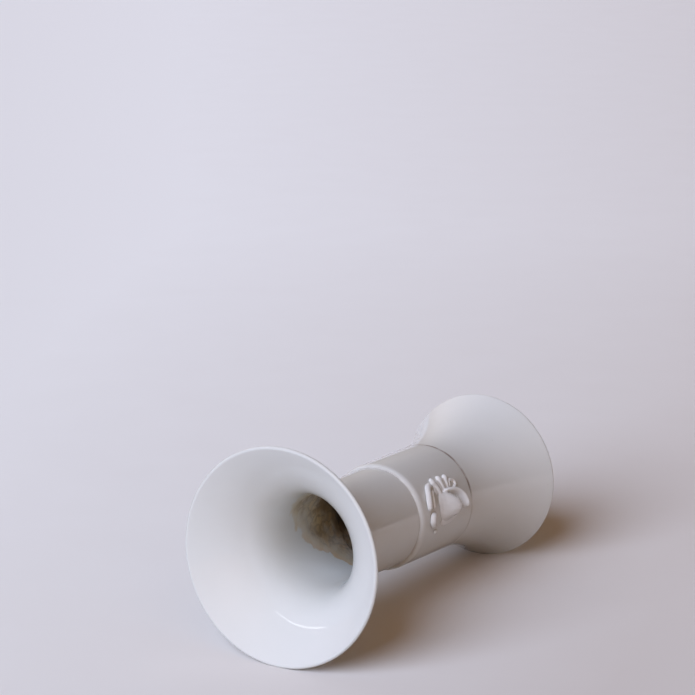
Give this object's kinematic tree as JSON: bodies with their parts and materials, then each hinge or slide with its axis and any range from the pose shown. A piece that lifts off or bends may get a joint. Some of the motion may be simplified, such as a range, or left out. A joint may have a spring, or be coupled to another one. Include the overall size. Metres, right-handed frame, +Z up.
{
  "type": "waisted trumpet vase",
  "caption": "Tall white glazed porcelain vase: a bell mouth and a spreading foot joined by a straight tube, with a rounded shoulder, a fine groove and a moulded rocaille ornament on the waist.",
  "frame": {"origin": "centre of the foot, on the ground that the vase stands on", "axes": "+Z up along the vase's axis, from the foot to the mouth; the moulded ornament faces -Y"},
  "size_m": [0.128, 0.128, 0.24],
  "materials": {
    "body_porcelain": "clear glossy glaze over white porcelain, bare on the foot ring",
    "sprig_porcelain": "clear glossy glaze over a white moulded sprig"
  },
  "bodies": {
    "root": {"neck_trumpet": "body_porcelain", "waist_tube": "body_porcelain", "foot_flare": "body_porcelain", "relief_boss": "sprig_porcelain", "relief_scroll_long": "sprig_porcelain", "relief_scroll_top": "sprig_porcelain", "relief_scroll_left": "sprig_porcelain", "relief_rib": "sprig_porcelain", "relief_leaf": "sprig_porcelain", "relief_volute": "sprig_porcelain", "relief_lobe_1": "sprig_porcelain", "relief_lobe_2": "sprig_porcelain", "relief_lobe_3": "sprig_porcelain", "relief_pearl": "sprig_porcelain"}
  },
  "joints": []
}
